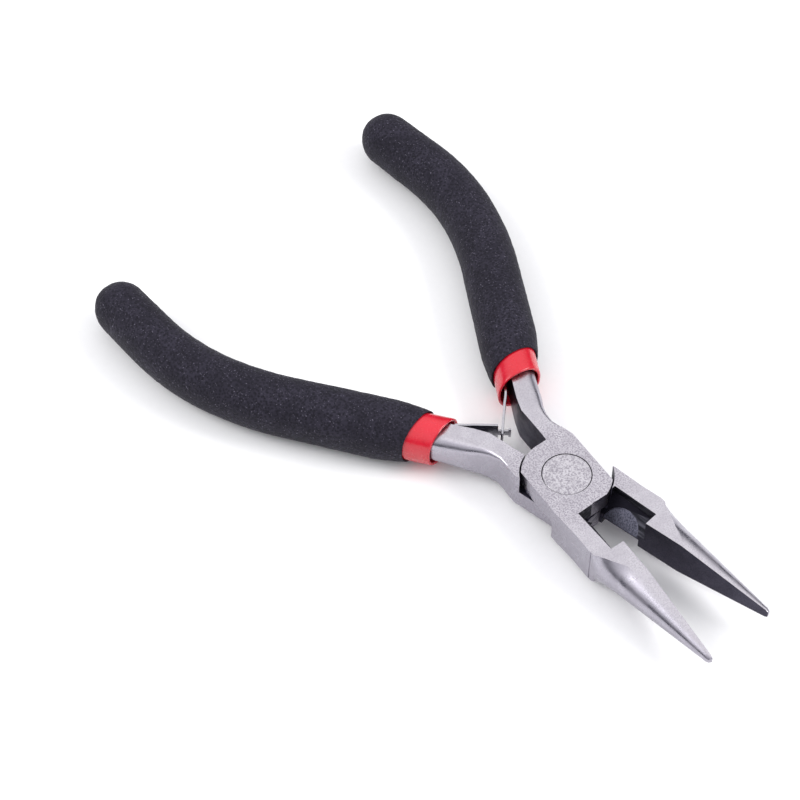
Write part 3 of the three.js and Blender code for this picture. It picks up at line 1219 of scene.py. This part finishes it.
@dataclass
class Grip:
    """Foam rubber grip over a sleeve, soft at its front edge and domed at its end."""

    side: Side
    half_width: float = 3.9 * MM
    half_height: float = 4.3 * MM
    ring_length: float = 4.3 * MM
    gap: float = 0.12 * MM
    front_growth: float = 0.45 * MM
    full_growth: float = 0.75 * MM
    slim: float = 0.6 * MM
    taper: float = 7.0 * MM
    dome: float = 5.0 * MM
    dome_steps: int = 11
    dome_turn: float = math.radians(88.0)
    lip_steps: int = 6
    cavity: tuple[float, ...] = (
        60.3 * MM, 50 * MM, 40 * MM, 32 * MM, 24 * MM, 14 * MM, 8 * MM, 5.2 * MM,
    )
    height_share: float = 0.75
    spacing: float = 0.75 * MM
    grain_height: float = 0.05 * MM
    grain_scale: float = 900.0
    sway_height: float = 0.1 * MM
    sway_scale: float = 90.0

    def growth(self, distance: float) -> float:
        """Thickness of the foam along the grip.

        Args:
            distance: behind the sleeve's mouth.

        Returns:
            The growth over the sleeve's outside.
        """
        front = min(1.0, (distance - self.ring_length) / self.taper)
        slimmed = self.slim * (distance - self.ring_length) / (HANDLE.length - self.ring_length)
        return self.front_growth + self.full_growth * math.sin(front * math.pi / 2) - slimmed

    def ring(self, distance: float, growth: float, shrink: float = 1.0) -> Ring:
        """One section of the grip.

        Args:
            distance: behind the sleeve's mouth.
            growth: over the sleeve's outside.
            shrink: share of the size that is left.

        Returns:
            The section.
        """
        width = (self.half_width + growth) * shrink
        height = (self.half_height + growth * self.height_share) * shrink
        return Ring(distance, width, height)

    def rings(self) -> list[Ring]:
        """Sections from the cavity's end, round the front edge, along the outside to the dome.

        Returns:
            The sections.
        """
        rings = [self.ring(distance, self.gap) for distance in self.cavity]
        lip = (self.front_growth - self.gap) / 2
        for step in range(self.lip_steps + 1):
            turn = math.pi * step / self.lip_steps
            distance = self.ring_length + lip * (1 - math.sin(turn))
            rings.append(self.ring(distance, self.gap + lip - lip * math.cos(turn)))
        dome_start = HANDLE.length - self.dome
        first = self.ring_length + 2 * lip
        count = round((dome_start - first) / self.spacing)
        for i in range(1, count + 1):
            distance = first + (dome_start - first) * i / count
            rings.append(self.ring(distance, self.growth(distance)))
        for step in range(1, self.dome_steps + 1):
            turn = self.dome_turn * step / self.dome_steps
            distance = dome_start + self.dome * math.sin(turn)
            rings.append(self.ring(distance, self.growth(dome_start), math.cos(turn)))
        return rings

    def build(self, material: bpy.types.Material) -> bpy.types.Object:
        """Makes the grip, with a fine uneven surface.

        Args:
            material: its finish.

        Returns:
            The piece.
        """
        bm = HandleTube(segments=72).build(self.rings(), self.side)
        bmesh.ops.subdivide_edges(bm, edges=bm.edges, cuts=1, use_grid_fill=True)
        bm.normal_update()
        moved = []
        for vert in bm.verts:
            grain = noise.noise(vert.co * self.grain_scale) * self.grain_height
            sway = noise.noise(vert.co * self.sway_scale) * self.sway_height
            moved.append(vert.co + vert.normal * (grain + sway))
        for vert, place in zip(bm.verts, moved):
            vert.co = place
        shade_by_angle(bm, math.pi)
        piece = mesh_object(f"{self.side.prefix}_foam_handle", bm, [material])
        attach(piece, self.side.body)
        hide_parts(f"{self.side.prefix}_foam_grip")
        return piece


# ---------------------------------------------------------------- studio


@dataclass(frozen=True)
class SoftBox:
    """A rectangular lamp that faces the joint."""

    name: str
    position: tuple[float, float, float]
    size: tuple[float, float]
    power: float


@dataclass
class Studio:
    """White board, soft lamps and the camera."""

    floor_z: float = -5.3 * MM
    floor_size: float = 1.6
    lens: float = 110.25
    camera_place: tuple[float, float, float] = (0.15818, -0.17725, 0.32056)
    camera_elevation: float = math.radians(51.6)
    camera_azimuth: float = math.radians(48.25)
    dusk_band: tuple[float, float] = (0.16, 0.70)
    horizon: Colour = (0.06, 0.06, 0.085, 1.0)
    sky: Colour = (0.97, 0.97, 1.0, 1.0)
    sky_strength: float = 1.12
    boxes: list[SoftBox] = field(default_factory=lambda: [
        SoftBox("key", (0.6, 0.67, 0.8), (0.5, 0.5), 7.0),
        SoftBox("left", (-0.55, -0.62, 0.75), (0.55, 0.55), 5.5),
    ])

    def build(self) -> None:
        """Makes the floor, world, lamps and camera."""
        self.make_floor()
        self.make_world()
        for box in self.boxes:
            self.make_lamp(box)
        self.make_camera()

    def make_floor(self) -> None:
        """Lays the white board under the pliers."""
        bm = bmesh.new()
        bmesh.ops.create_grid(bm, x_segments=2, y_segments=2, size=self.floor_size / 2)
        bmesh.ops.translate(bm, verts=bm.verts, vec=(0.0, 0.0, self.floor_z))
        mesh_object("studio_floor", bm, [FloorFinish().material()])

    def make_world(self) -> None:
        """Fills the room with pale light that darkens towards the horizon."""
        world = bpy.data.worlds.new("studio")
        bpy.context.scene.world = world
        world.use_nodes = True
        world.node_tree.nodes.clear()
        n = Nodes(world.node_tree)
        place = n.add("ShaderNodeTexCoord").outputs["Generated"]
        height = n.add("ShaderNodeSeparateXYZ", {0: place}).outputs["Z"]
        tone = n.mix(n.ramp(height, *self.dusk_band), self.horizon, self.sky)
        background = n.add("ShaderNodeBackground", {"Color": tone, "Strength": self.sky_strength})
        n.add("ShaderNodeOutputWorld", {"Surface": background.outputs[0]})

    def make_lamp(self, box: SoftBox) -> None:
        """Adds one soft lamp.

        Args:
            box: the lamp.
        """
        lamp = bpy.data.lights.new(box.name, "AREA")
        lamp.shape = "RECTANGLE"
        lamp.size, lamp.size_y = box.size
        lamp.energy = box.power
        holder = bpy.data.objects.new(box.name, lamp)
        holder.location = box.position
        holder.rotation_euler = Vector(box.position).to_track_quat("Z", "Y").to_euler()
        bpy.context.scene.collection.objects.link(holder)

    def make_camera(self) -> None:
        """Adds the camera."""
        camera = bpy.data.cameras.new("camera")
        camera.lens = self.lens
        camera.sensor_width = 36.0
        camera.clip_start = 0.01
        holder = bpy.data.objects.new("camera", camera)
        holder.location = self.camera_place
        holder.rotation_euler = (math.pi / 2 - self.camera_elevation, 0.0, self.camera_azimuth)
        bpy.context.scene.collection.objects.link(holder)
        bpy.context.scene.camera = holder
        bpy.context.scene.view_settings.view_transform = "Standard"


# ---------------------------------------------------------------- assembly


def dress(node: str, material: bpy.types.Material) -> bpy.types.Object:
    """Gives a CAD node that stays its finish.

    Args:
        node: the CAD node's name.
        material: its finish.

    Returns:
        The node's object.
    """
    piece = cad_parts[node]
    piece.data.materials.clear()
    piece.data.materials.append(material)
    return piece


def report(piece: bpy.types.Object) -> None:
    """Logs a piece's name and face count.

    Args:
        piece: the finished piece.
    """
    log.info("%s: %d faces", piece.name, len(piece.data.polygons))


def main() -> None:
    """Builds the studio and every piece in order."""
    logging.basicConfig(level=logging.INFO, format="%(name)s %(message)s")
    Studio().build()
    forging_finishes = [
        OUTER_STEEL.material(),
        INNER_STEEL.material(),
        MilledFinish().material(),
        BLADE_STEEL.material(),
        STEP_PAINTED_SHADE.material(),
    ]
    rivet_steel = RIVET_STEEL.material()
    spring_steel = SPRING_STEEL.material()
    vinyl = VinylFinish().material()
    foam = FoamFinish().material()
    report(Rivet().build(rivet_steel))
    for side in Side:
        report(Forging(side).build(forging_finishes))
        report(LeafSpring(side).build(spring_steel))
        report(dress(f"{side.prefix}_spring_rivet", rivet_steel))
        report(Sleeve(side).build(vinyl))
        report(Grip(side).build(foam))


if __name__ == "__main__":
    main()
